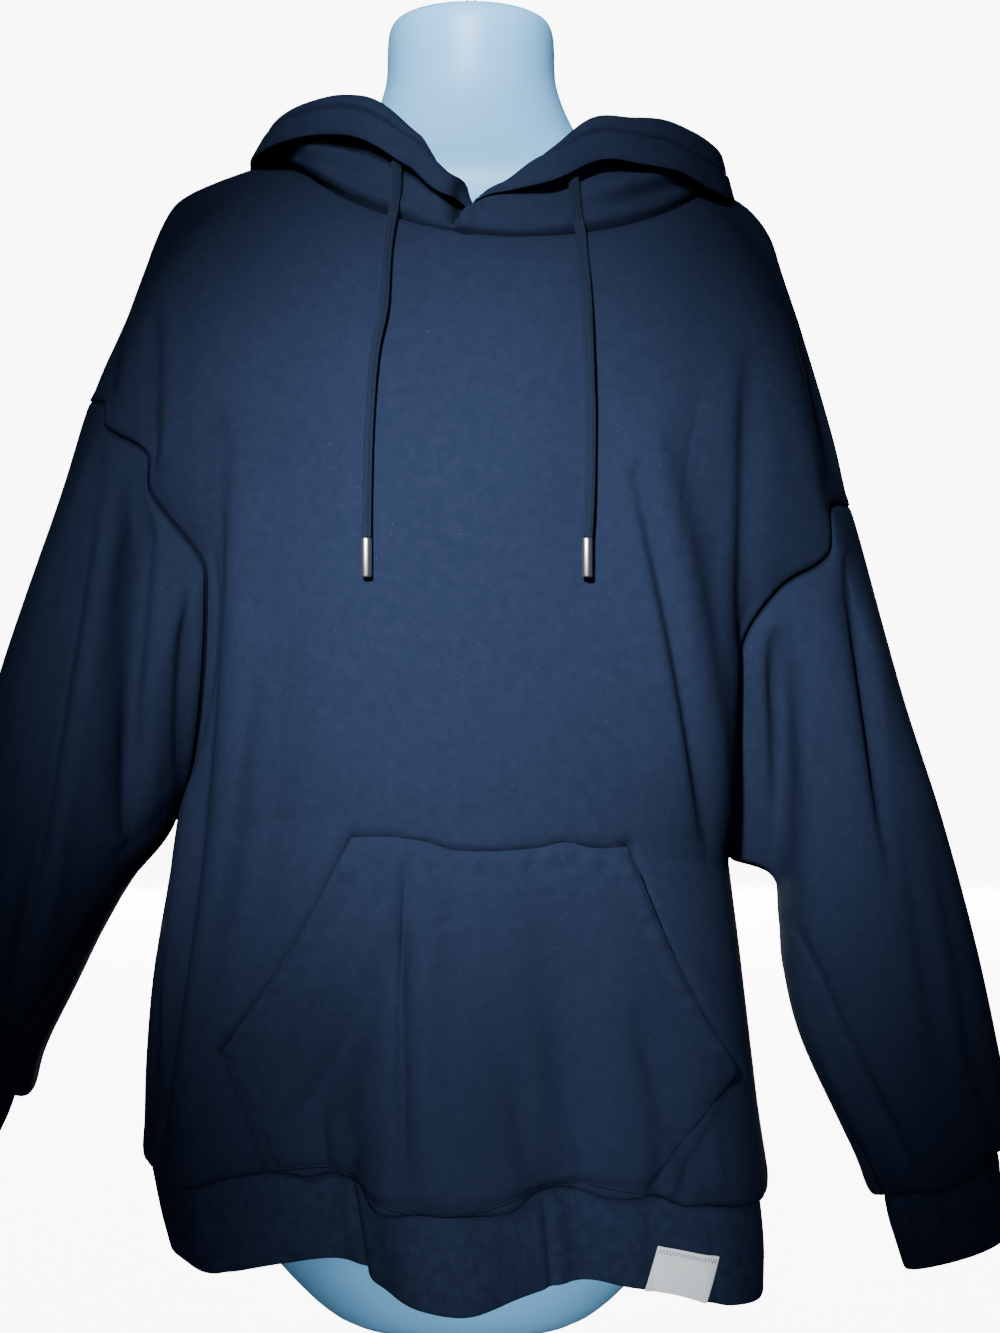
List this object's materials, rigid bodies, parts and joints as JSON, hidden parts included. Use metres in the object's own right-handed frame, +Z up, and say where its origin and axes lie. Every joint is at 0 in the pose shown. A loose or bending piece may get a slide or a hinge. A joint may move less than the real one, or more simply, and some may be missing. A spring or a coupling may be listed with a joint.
{
  "type": "pullover hoodie on a torso form",
  "caption": "Loose fleece pullover hoodie with a hood worn down, drawcords, front pocket and rib trims, on a smooth limbless form.",
  "frame": {"origin": "centre of the form's flat base", "axes": "+Z up through the neck, -Y towards the front of the hoodie, +X towards the viewer's right"},
  "size_m": [0.7499, 0.3349, 0.906],
  "materials": {
    "fleece": "matte brushed fleece knit",
    "rib": "fine vertical rib knit",
    "cord": "flat braided cord",
    "tip_metal": "bright satin metal",
    "label": "bare woven label",
    "form_plastic": "smooth moulded plastic",
    "loop_wire": "thin drawn wire"
  },
  "bodies": {
    "root": {"torso_form": "form_plastic", "hanging_loop": "loop_wire", "front_panel": "fleece", "back_panel": "fleece", "waistband": "rib", "left_sleeve": "fleece", "left_cuff": "rib", "right_sleeve": "fleece", "right_cuff": "rib", "hood": "fleece", "pocket": "fleece", "hem_label": "label", "left_drawcord": "cord", "left_cord_tip": "tip_metal", "right_drawcord": "cord", "right_cord_tip": "tip_metal"}
  },
  "joints": []
}
